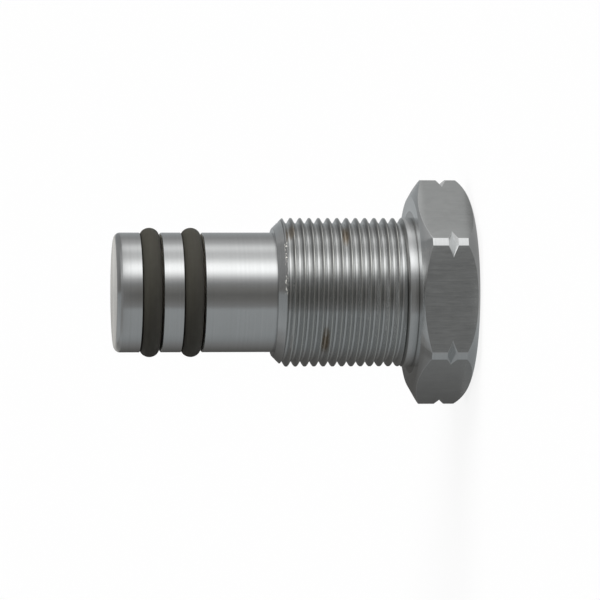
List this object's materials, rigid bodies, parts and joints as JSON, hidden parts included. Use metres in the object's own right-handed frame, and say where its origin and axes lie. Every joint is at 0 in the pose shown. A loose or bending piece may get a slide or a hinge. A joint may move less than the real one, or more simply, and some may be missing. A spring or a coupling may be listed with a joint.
{
  "type": "blanking plug",
  "caption": "Steel blanking plug with a hexagon head, a fine threaded shank and a plain sealing spigot that carries O-rings.",
  "frame": {"origin": "centre of the outer face of the hexagon head, on the axis; the plug stands on that face", "axes": "+Z along the axis from the head to the free end of the spigot; two flats of the hexagon face +Y and -Y, and two of its corners lie on +X and -X"},
  "size_m": [0.036, 0.0318, 0.0571],
  "materials": {
    "bright_steel": "turned and bright zinc plated",
    "black_rubber": "matt moulded rubber"
  },
  "bodies": {
    "root": {"plug_body": "bright_steel", "front_o_ring": "black_rubber", "rear_o_ring": "black_rubber"}
  },
  "joints": []
}
